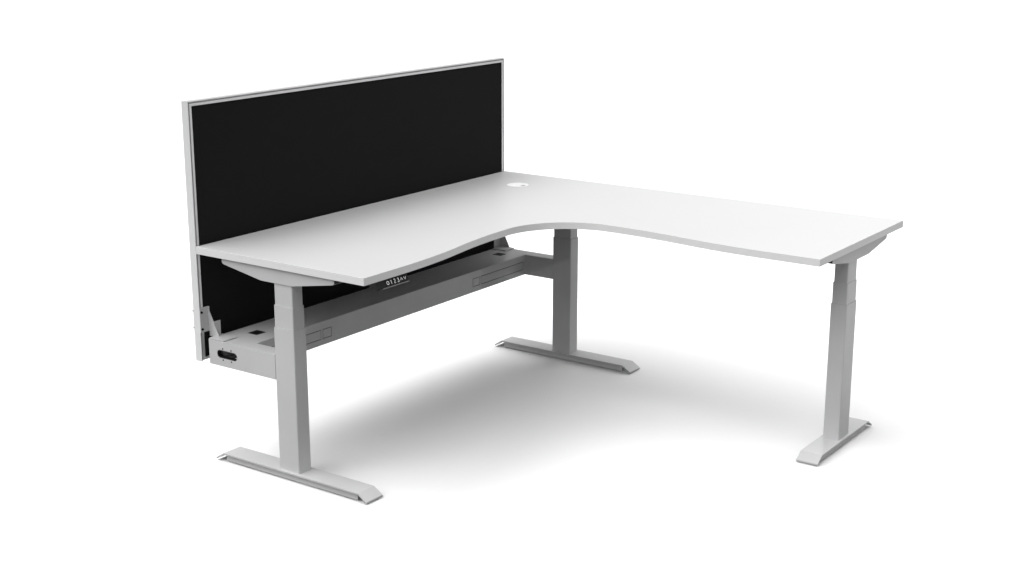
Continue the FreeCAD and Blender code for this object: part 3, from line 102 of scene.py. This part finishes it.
def set_inputs(node, inputs):
    """Set the unlinked input values of a node."""
    for name, value in inputs.items():
        node.inputs[name].default_value = value


def add_node(tree, kind, inputs=None, **settings):
    """A node with its settings and its unlinked input values."""
    node = tree.nodes.new(kind)
    for name, value in settings.items():
        setattr(node, name, value)
    set_inputs(node, inputs or {})
    return node


def object_place(tree, scale=(1, 1, 1)):
    """Position on the piece in metres, stretched by a scale."""
    place = add_node(tree, "ShaderNodeTexCoord")
    mapping = add_node(tree, "ShaderNodeMapping", {"Scale": scale})
    tree.links.new(place.outputs["Object"], mapping.inputs["Vector"])
    return mapping.outputs["Vector"]


def noise(tree, place, scale, detail=3.0):
    """Cloudy noise at a position."""
    texture = add_node(tree, "ShaderNodeTexNoise", {"Scale": scale, "Detail": detail, "Roughness": 0.5})
    tree.links.new(place, texture.inputs["Vector"])
    return texture.outputs["Fac"]


def ramp(tree, value, stops):
    """Colours spread over a value, as (position, colour) stops."""
    node = add_node(tree, "ShaderNodeValToRGB")
    elements = node.color_ramp.elements
    while len(elements) < len(stops):
        elements.new(0.5)
    for element, (position, color) in zip(elements, stops):
        element.position = position
        element.color = (*color, 1)
    tree.links.new(value, node.inputs["Fac"])
    return node.outputs["Color"]


def tint(tree, shader, value, dark, light):
    """Base colour that varies between two shades with noise."""
    color = ramp(tree, value, [(NOISE_LOW, dark), (NOISE_HIGH, light)])
    tree.links.new(color, shader.inputs["Base Color"])


def gloss(tree, shader, value, low, high):
    """Roughness that varies between two values with noise."""
    limits = {"From Min": NOISE_LOW, "From Max": NOISE_HIGH, "To Min": low, "To Max": high}
    node = add_node(tree, "ShaderNodeMapRange", limits)
    tree.links.new(value, node.inputs["Value"])
    tree.links.new(node.outputs["Result"], shader.inputs["Roughness"])


def math_node(tree, operation, *values):
    """A sum of shader values and plain numbers."""
    node = add_node(tree, "ShaderNodeMath", operation=operation)
    for socket, value in zip(node.inputs, values):
        if isinstance(value, (int, float)):
            socket.default_value = value
        else:
            tree.links.new(value, socket)
    return node.outputs["Value"]


def bump(tree, shader, height, strength, distance, edge_radius=0.0):
    """Fine relief, over edges softened by a small radius where one is given."""
    relief = add_node(tree, "ShaderNodeBump", {"Strength": strength, "Distance": distance})
    tree.links.new(height, relief.inputs["Height"])
    if edge_radius:
        soft = add_node(tree, "ShaderNodeBevel", {"Radius": edge_radius}, samples=4)
        tree.links.new(soft.outputs["Normal"], relief.inputs["Normal"])
    tree.links.new(relief.outputs["Normal"], shader.inputs["Normal"])


def shade(color, factor):
    """A colour made darker or lighter."""
    return tuple(channel * factor for channel in color)


def powder_coat(name, color, gloss_low, gloss_high, metal, lacquer):
    """Fine orange-peel coat with faint cloudiness under a clear lacquer."""
    material, tree, shader = new_material(name)
    place = object_place(tree)
    cloud = noise(tree, place, scale=6.0)
    grain = noise(tree, place, scale=1400.0, detail=2.0)
    tint(tree, shader, cloud, shade(color, 0.96), shade(color, 1.03))
    gloss(tree, shader, grain, gloss_low, gloss_high)
    set_inputs(shader, {"Metallic": metal, "Specular IOR Level": 0.1})
    set_inputs(shader, {"Coat Weight": lacquer, "Coat Roughness": 0.04})
    bump(tree, shader, grain, strength=0.2, distance=0.0001, edge_radius=0.0009)
    return material


def laminate(name, color):
    """White laminate: a fine pebbled print, almost even in colour."""
    material, tree, shader = new_material(name)
    place = object_place(tree)
    cloud = noise(tree, place, scale=3.0)
    pebble = noise(tree, place, scale=900.0, detail=2.0)
    tint(tree, shader, cloud, shade(color, 0.985), color)
    gloss(tree, shader, pebble, low=0.34, high=0.46)
    bump(tree, shader, pebble, strength=0.2, distance=0.00008, edge_radius=0.0008)
    return material


def edging(name, color):
    """Plastic edge band with faint lines along its length from the roller that pressed it on."""
    material, tree, shader = new_material(name)
    lines = noise(tree, object_place(tree, (4, 4, 900)), scale=1.0, detail=2.0)
    grain = noise(tree, object_place(tree), scale=1100.0, detail=2.0)
    tint(tree, shader, lines, shade(color, 0.97), color)
    gloss(tree, shader, grain, low=0.36, high=0.5)
    bump(tree, shader, lines, strength=0.12, distance=0.00008, edge_radius=0.0008)
    return material


def extrusion(name, color, stretch):
    """Satin anodised aluminium with fine die lines, which the stretch leaves long in one direction."""
    material, tree, shader = new_material(name)
    lines = noise(tree, object_place(tree, stretch), scale=1.0)
    cloud = noise(tree, object_place(tree), scale=5.0)
    tint(tree, shader, cloud, shade(color, 0.96), shade(color, 1.02))
    gloss(tree, shader, lines, low=0.3, high=0.42)
    set_inputs(shader, {"Metallic": 0.3})
    bump(tree, shader, lines, strength=0.12, distance=0.00006, edge_radius=0.0006)
    return material


def woven_fabric(name, dark, light):
    """Plain weave: crossing threads about a millimetre wide, with slubs and a soft sheen."""
    material, tree, shader = new_material(name)
    apart = add_node(tree, "ShaderNodeSeparateXYZ")
    tree.links.new(object_place(tree), apart.inputs["Vector"])
    turns = 2 * math.pi / THREAD_PAIR
    warp = math_node(tree, "SINE", math_node(tree, "MULTIPLY", apart.outputs["Y"], turns))
    weft = math_node(tree, "SINE", math_node(tree, "MULTIPLY", apart.outputs["Z"], turns))
    crossing = math_node(tree, "MULTIPLY", warp, weft)
    over = math_node(tree, "MULTIPLY_ADD", crossing, 0.5, 0.5)
    slub = noise(tree, object_place(tree, (1, 1, 6)), scale=160.0)
    pick = noise(tree, object_place(tree, (1, 7, 1)), scale=150.0)
    yarn = math_node(tree, "MULTIPLY", math_node(tree, "ADD", slub, pick), 0.5)
    relief = math_node(tree, "MULTIPLY", yarn, 0.8)
    height = math_node(tree, "MULTIPLY_ADD", over, 0.6, relief)
    color = ramp(tree, yarn, [(0.36, dark), (0.64, light)])
    tree.links.new(color, shader.inputs["Base Color"])
    set_inputs(shader, {"Roughness": 0.95, "Specular IOR Level": 0.15})
    set_inputs(shader, {"Sheen Weight": 0.03, "Sheen Roughness": 0.6})
    bump(tree, shader, height, strength=0.6, distance=0.0004)
    return material


def moulded_plastic(name, color, gloss_low, gloss_high, relief=0.3, shine=0.5):
    """Injection-moulded plastic with a fine spark texture."""
    material, tree, shader = new_material(name)
    place = object_place(tree)
    grain = noise(tree, place, scale=1800.0, detail=2.0)
    cloud = noise(tree, place, scale=20.0)
    tint(tree, shader, cloud, shade(color, 0.93), shade(color, 1.05))
    gloss(tree, shader, grain, gloss_low, gloss_high)
    set_inputs(shader, {"Specular IOR Level": shine})
    bump(tree, shader, grain, relief, distance=0.00008, edge_radius=0.0006)
    return material


def plated_steel(name, color, gloss_low, gloss_high):
    """Plated or turned steel with fine scratches and faint stains."""
    material, tree, shader = new_material(name)
    scratches = noise(tree, object_place(tree, (900, 60, 900)), scale=1.0, detail=4.0)
    stain = noise(tree, object_place(tree), scale=60.0)
    tint(tree, shader, stain, shade(color, 0.82), color)
    gloss(tree, shader, scratches, gloss_low, gloss_high)
    set_inputs(shader, {"Metallic": 1.0})
    bump(tree, shader, scratches, strength=0.15, distance=0.00005, edge_radius=0.0004)
    return material


def print_ink_with_painted_glow(name, color):
    """Slightly uneven pale print on the keys, with a faint painted glow that brightens it in the shade
    under the desk.
    """
    material, tree, shader = new_material(name)
    speck = noise(tree, object_place(tree), scale=2500.0, detail=2.0)
    tint(tree, shader, speck, shade(color, 0.85), color)
    # Painted light: a faint emission makes the print glow, though no lamp lights it.
    set_inputs(shader, {"Roughness": 0.5, "Emission Color": (1, 1, 1, 1), "Emission Strength": 0.25})
    return material


def pale_floor(name, color):
    """Even studio floor with a trace of grain."""
    material, tree, shader = new_material(name)
    grain = noise(tree, object_place(tree), scale=30.0)
    tint(tree, shader, grain, shade(color, 0.99), color)
    set_inputs(shader, {"Roughness": 0.9, "Specular IOR Level": 0.1})
    return material


silver = powder_coat("silver_coat", (0.6, 0.6, 0.605), 0.30, 0.42, metal=0.0, lacquer=0.35)
white_top = laminate("white_laminate", (0.59, 0.59, 0.59))
edge_plastic = edging("edge_plastic", (0.82, 0.82, 0.82))
anodised_frame = extrusion("anodised", (0.64, 0.64, 0.645), stretch=(700, 30, 30))
fabric = woven_fabric("screen_fabric", (0.0025, 0.0025, 0.0026), (0.006, 0.006, 0.0063))
zinc = plated_steel("zinc_steel", (0.62, 0.62, 0.63), 0.25, 0.4)
drive_steel = plated_steel("drive_steel", (0.38, 0.38, 0.39), 0.3, 0.5)
guide_plastic = moulded_plastic("guide_plastic", (0.03, 0.03, 0.031), 0.4, 0.55)
white_plastic = moulded_plastic("white_plastic", (0.96, 0.96, 0.96), 0.25, 0.35, relief=0.15)
black_plastic = moulded_plastic("black_plastic", (0.008, 0.008, 0.0084), 0.4, 0.55, shine=0.2)
key_plastic = moulded_plastic("key_plastic", (0.012, 0.012, 0.0126), 0.35, 0.5, shine=0.2)
# Painted highlight: a grey plastic for the strip that stands in for the light caught on the handset
# ledge's lower edge.
painted_highlight_plastic = moulded_plastic("painted_highlight_plastic", (0.3, 0.3, 0.305), 0.35, 0.5)
motor_coat = powder_coat("motor_metal", (0.02, 0.02, 0.021), 0.45, 0.6, metal=0.2, lacquer=0.0)
rubber = moulded_plastic("glide_rubber", (0.02, 0.02, 0.02), 0.6, 0.8, relief=0.5)
black_steel = powder_coat("black_steel", (0.01, 0.01, 0.0105), 0.4, 0.55, metal=0.5, lacquer=0.0)
# Pale print on the keys, with a painted glow.
ink_with_painted_glow = print_ink_with_painted_glow("key_print_painted_glow", (0.85, 0.85, 0.85))

BY_SLOT = {
    "white_laminate": white_top,
    "edge_plastic": edge_plastic,
    "silver_coat": silver,
    "anodised": anodised_frame,
    "screen_fabric": fabric,
    "zinc_steel": zinc,
    "drive_steel": drive_steel,
    "guide_plastic": guide_plastic,
    "white_plastic": white_plastic,
    "black_plastic": black_plastic,
    "key_plastic": key_plastic,
    "motor_metal": motor_coat,
    "glide_rubber": rubber,
    "black_steel": black_steel,
}


def dress(obj, material):
    """Give every face of a piece one material."""
    obj.data.materials.clear()
    obj.data.materials.append(material)


def dress_frame():
    """Each CAD node takes the material of its slot in the record."""
    for subpart in frame["record"]["subparts"]:
        dress(nodes[subpart["node"]], BY_SLOT[subpart["material_slot"]])


def link_mesh(name, mesh, material):
    """A new object made from a finished bmesh."""
    data = bpy.data.meshes.new(name)
    mesh.to_mesh(data)
    mesh.free()
    obj = bpy.data.objects.new(name, data)
    scene.collection.objects.link(obj)
    data.materials.append(material)
    return obj


def smooth(obj, angle):
    """Shade smooth, keeping edges sharper than the angle in degrees."""
    for polygon in obj.data.polygons:
        polygon.use_smooth = True
    mesh = bmesh.new()
    mesh.from_mesh(obj.data)
    for edge in mesh.edges:
        edge.smooth = len(edge.link_faces) != 2 or edge.calc_face_angle() < math.radians(angle)
    mesh.to_mesh(obj.data)
    mesh.free()


def node_corners(node):
    """Lowest and highest corner of a CAD node's box."""
    low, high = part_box(node)
    return Vector(low), Vector(high)


def round_edges(mesh, edges, radius, segments):
    """Round some edges of a mesh."""
    bmesh.ops.bevel(mesh, geom=edges, offset=radius, segments=segments, affect="EDGES", profile=0.5)


def box_mesh(width, depth, height):
    """A box about the origin."""
    mesh = bmesh.new()
    bmesh.ops.create_cube(mesh, size=1.0)
    bmesh.ops.scale(mesh, vec=(width, depth, height), verts=mesh.verts)
    return mesh


def eased(share):
    """A share from 0 to 1 with its steps drawn together at both ends."""
    return 0.5 - 0.5 * math.cos(math.pi * share)


def tile_points(mesh, low, high, outward):
    """Rows of points over a tile's face, which crowns in the middle and rounds off at its edges."""
    size = high - low
    rows = []
    for i in range(TILE_STEPS + 1):
        row = []
        for j in range(TILE_STEPS + 1):
            across, up = i / TILE_STEPS, j / TILE_STEPS
            y = low.y + size.y * eased(across)
            z = low.z + size.z * eased(up)
            nearest = min(y - low.y, high.y - y, z - low.z, high.z - z)
            fall = min(1.0, max(0.0, 1 - nearest / TILE_EDGE))
            swell = TILE_CROWN * (1 - (2 * across - 1) ** 4) * (1 - (2 * up - 1) ** 4)
            depth = size.x - TILE_CROWN + swell - TILE_EDGE * (1 - math.sqrt(1 - fall * fall))
            x = low.x + depth if outward > 0 else high.x - depth
            row.append(mesh.verts.new((x, y, z)))
        rows.append(row)
    return rows


def close_tile(mesh, rows, back_x):
    """The sides of a tile and its flat back."""
    last = TILE_STEPS
    rim = [rows[i][0] for i in range(last)] + [rows[last][j] for j in range(last)]
    rim += [rows[i][last] for i in range(last, 0, -1)] + [rows[0][j] for j in range(last, 0, -1)]
    back = [mesh.verts.new((back_x, vert.co.y, vert.co.z)) for vert in rim]
    for i in range(len(rim)):
        ahead = (i + 1) % len(rim)
        mesh.faces.new((rim[i], back[i], back[ahead], rim[ahead]))
    mesh.faces.new(back)


def fabric_tile(name, node, outward):
    """A board wrapped in stretched cloth: rounded edges and a face that crowns a little."""
    low, high = node_corners(node)
    mesh = bmesh.new()
    rows = tile_points(mesh, low, high, outward)
    for row, ahead in zip(rows, rows[1:]):
        for j in range(TILE_STEPS):
            mesh.faces.new((row[j], ahead[j], ahead[j + 1], row[j + 1]))
    close_tile(mesh, rows, low.x if outward > 0 else high.x)
    bmesh.ops.recalc_face_normals(mesh, faces=mesh.faces)
    tile = link_mesh(name, mesh, fabric)
    smooth(tile, 50)
    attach(tile, "base")
    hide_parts(node)


def key_matrix(key):
    """Place of a key's front face: X across it, Y up it, Z out of it."""
    low, high = node_corners("key_" + key)
    out = Vector((math.cos(HANDSET_ANGLE), 0, math.sin(HANDSET_ANGLE)))
    up = Vector((-math.sin(HANDSET_ANGLE), 0, math.cos(HANDSET_ANGLE)))
    across = Vector((0, 1, 0))
    centre = (low + high) / 2 + out * (KEY_DEPTH / 2)
    turn = Matrix((across, up, out)).transposed().to_4x4()
    return Matrix.Translation(centre) @ turn


def dish(mesh, face):
    """Hollow a flat face into a shallow bowl, ring by ring towards its middle."""
    last = 1.0
    for share in DISH_RINGS:
        bmesh.ops.inset_individual(mesh, faces=[face], thickness=TINY)
        for vert in face.verts:
            vert.co.x *= share / last
            vert.co.y *= share / last
            vert.co.z = -DISH_DEPTH * (1 - share ** 2)
        last = share
    bmesh.ops.poke(mesh, faces=[face])


def key_cap(key):
    """A key with rounded corners and edges and a shallow dish in its face."""
    mesh = box_mesh(KEY_WIDTH, KEY_HEIGHT, KEY_DEPTH)
    bmesh.ops.translate(mesh, vec=(0, 0, -KEY_DEPTH / 2), verts=mesh.verts)
    upright = [edge for edge in mesh.edges if abs((edge.verts[0].co - edge.verts[1].co).z) > KEY_DEPTH / 2]
    round_edges(mesh, upright, KEY_CORNER, segments=4)
    rim = [edge for edge in mesh.edges if all(abs(vert.co.z) < TINY for vert in edge.verts)]
    round_edges(mesh, rim, KEY_RIM, segments=3)
    dish(mesh, max((f for f in mesh.faces if f.normal.z > 0.9), key=lambda f: f.calc_area()))
    bmesh.ops.recalc_face_normals(mesh, faces=mesh.faces)
    mesh.transform(key_matrix(key))
    cap = link_mesh("cap_" + key, mesh, key_plastic)
    smooth(cap, 40)
    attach(cap, "key_" + key)
    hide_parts("key_" + key)


def stroke_mesh(points):
    """A flat mark of even width along a line of points, joined up where its ends meet."""
    mesh = bmesh.new()
    closed = math.dist(points[0], points[-1]) < TINY
    if closed:
        points = points[:-1]
    last = len(points) - 1
    pairs = []
    for i, point in enumerate(points):
        before = Vector(points[i - 1 if closed else max(i - 1, 0)])
        after = Vector(points[(i + 1) % len(points) if closed else min(i + 1, last)])
        run = (after - before).normalized()
        side = Vector((-run.y, run.x)) * (MARK_WIDTH / 2)
        place = Vector(point)
        pairs.append([mesh.verts.new((*(place + side), 0)), mesh.verts.new((*(place - side), 0))])
    if closed:
        pairs.append(pairs[0])
    for (a, b), (c, d) in zip(pairs, pairs[1:]):
        mesh.faces.new((a, b, d, c))
    lift = bmesh.ops.extrude_face_region(mesh, geom=list(mesh.faces))
    raised = [item for item in lift["geom"] if isinstance(item, bmesh.types.BMVert)]
    bmesh.ops.translate(mesh, vec=(0, 0, MARK_THICKNESS), verts=raised)
    bmesh.ops.recalc_face_normals(mesh, faces=mesh.faces)
    return mesh


def arc_points(centre, radius, start, end, steps=14):
    """Points of an arc between two angles in degrees."""
    angles = [math.radians(start + (end - start) * i / steps) for i in range(steps + 1)]
    return [(centre[0] + radius * math.cos(a), centre[1] + radius * math.sin(a)) for a in angles]


def key_marks():
    """Generic prints for the keys, in millimetres: a ring, three numerals and two arrows."""
    two = arc_points((0, 3.3), 3.2, 165, -35) + [(-3.4, -6.3), (3.8, -6.3)]
    three = arc_points((0, 3.1), 3.0, 150, -80) + arc_points((0, -2.9), 3.5, 85, -150)
    return {
        "memory": arc_points((0, 0), 5.2, 0, 360, 32),
        "preset_1": [(-2.6, 4.2), (0.6, 6.4), (0.6, -6.4)],
        "preset_2": two,
        "preset_3": three,
        "up": [(-5.0, -4.0), (0, 4.6), (5.0, -4.0)],
        "down": [(-5.0, 4.0), (0, -4.6), (5.0, 4.0)],
    }


def print_keys():
    """Lay the prints on the keys' faces, a little sunk so that they meet the dish."""
    sink = Matrix.Translation((0, 0, -MARK_SINK))
    for key, line in key_marks().items():
        mesh = stroke_mesh([(x * MILLIMETRE, y * MILLIMETRE) for x, y in line])
        mesh.transform(key_matrix(key) @ sink)
        mark = link_mesh("print_" + key, mesh, ink_with_painted_glow)
        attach(mark, "key_" + key)


def handset_painted_highlight():
    """A grey strip along the ledge under the keys: a painted highlight on the ledge's lower edge."""
    low, high = node_corners("handset_case")
    length = high.y - low.y - HIGHLIGHT_INSET
    mesh = box_mesh(HIGHLIGHT_DEPTH, length, HIGHLIGHT_HEIGHT)
    round_edges(mesh, list(mesh.edges), HIGHLIGHT_EDGE, segments=3)
    x = high.x + HIGHLIGHT_PROUD - HIGHLIGHT_DEPTH / 2
    z = low.z - HIGHLIGHT_PROUD + HIGHLIGHT_HEIGHT / 2
    bmesh.ops.translate(mesh, vec=(x, high.y - length / 2, z), verts=mesh.verts)
    highlight_strip = link_mesh("handset_painted_highlight", mesh, painted_highlight_plastic)
    smooth(highlight_strip, 40)
    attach(highlight_strip, "desk")


def make_floor():
    """A floor that shows shadows but throws no light back on the object."""
    bpy.ops.mesh.primitive_plane_add(size=FLOOR_SIZE)
    floor = bpy.context.object
    floor.name = "studio_floor"
    floor.visible_diffuse = False
    dress(floor, pale_floor("floor", (0.97, 0.97, 0.97)))


def soft_light(name, azimuth, elevation, width, strength):
    """Even light from a wide patch of sky: the direction, height and width of the patch are in degrees."""
    around, up = math.radians(azimuth), math.radians(elevation)
    source = Vector((math.cos(around) * math.cos(up), math.sin(around) * math.cos(up), math.sin(up)))
    data = bpy.data.lights.new(name, "SUN")
    data.angle = math.radians(width)
    data.energy = strength
    lamp = bpy.data.objects.new(name, data)
    lamp.location = source * LAMP_DISTANCE
    lamp.rotation_euler = source.to_track_quat("Z", "Y").to_euler()
    scene.collection.objects.link(lamp)


def make_world():
    """White behind the object, and a dimmer glow as fill light, mostly from above the horizon."""
    world = bpy.data.worlds.new("studio")
    scene.world = world
    world.use_nodes = True
    tree = world.node_tree
    tree.nodes.clear()
    path = add_node(tree, "ShaderNodeLightPath")
    place = add_node(tree, "ShaderNodeTexCoord")
    apart = add_node(tree, "ShaderNodeSeparateXYZ")
    tree.links.new(place.outputs["Generated"], apart.inputs["Vector"])
    below = (FILL_BELOW, FILL_BELOW, FILL_BELOW)
    sky = ramp(tree, apart.outputs["Z"], [(0.0, below), (HORIZON_BLEND, (1, 1, 1))])
    fill = add_node(tree, "ShaderNodeBackground", {"Strength": FILL_STRENGTH})
    tree.links.new(sky, fill.inputs["Color"])
    white = add_node(tree, "ShaderNodeBackground", {"Color": (1, 1, 1, 1), "Strength": 1.0})
    mix = add_node(tree, "ShaderNodeMixShader")
    output = add_node(tree, "ShaderNodeOutputWorld")
    tree.links.new(path.outputs["Is Camera Ray"], mix.inputs["Fac"])
    tree.links.new(fill.outputs["Background"], mix.inputs[1])
    tree.links.new(white.outputs["Background"], mix.inputs[2])
    tree.links.new(mix.outputs["Shader"], output.inputs["Surface"])


def make_lights():
    """Broad lights all round, strongest from the front and from high on the left."""
    soft_light("front", azimuth=270, elevation=48, width=50, strength=1.25)
    soft_light("front_left", azimuth=233, elevation=45, width=50, strength=0.85)
    soft_light("left", azimuth=180, elevation=60, width=40, strength=1.35)
    soft_light("back", azimuth=90, elevation=34, width=55, strength=0.75)
    soft_light("right", azimuth=0, elevation=72, width=50, strength=0.35)


def make_camera():
    """A camera with the photograph's view of the desk."""
    data = bpy.data.cameras.new("photo_camera")
    data.sensor_fit = "HORIZONTAL"
    data.sensor_width = SENSOR_WIDTH
    data.lens = FOCAL_PIXELS / FRAME_PIXELS * SENSOR_WIDTH
    camera = bpy.data.objects.new("photo_camera", data)
    camera.location = CAMERA_PLACE
    level = math.cos(CAMERA_PITCH)
    ahead = Vector((math.cos(CAMERA_YAW) * level, math.sin(CAMERA_YAW) * level, math.sin(CAMERA_PITCH)))
    camera.rotation_euler = ahead.to_track_quat("-Z", "Y").to_euler()
    scene.collection.objects.link(camera)
    scene.camera = camera


dress_frame()
fabric_tile("front_fabric", "front_tile", 1)
fabric_tile("rear_fabric", "rear_tile", -1)
for key_name in KEYS:
    key_cap(key_name)
print_keys()
handset_painted_highlight()
make_floor()
make_world()
make_lights()
make_camera()
scene.view_settings.view_transform = "Standard"
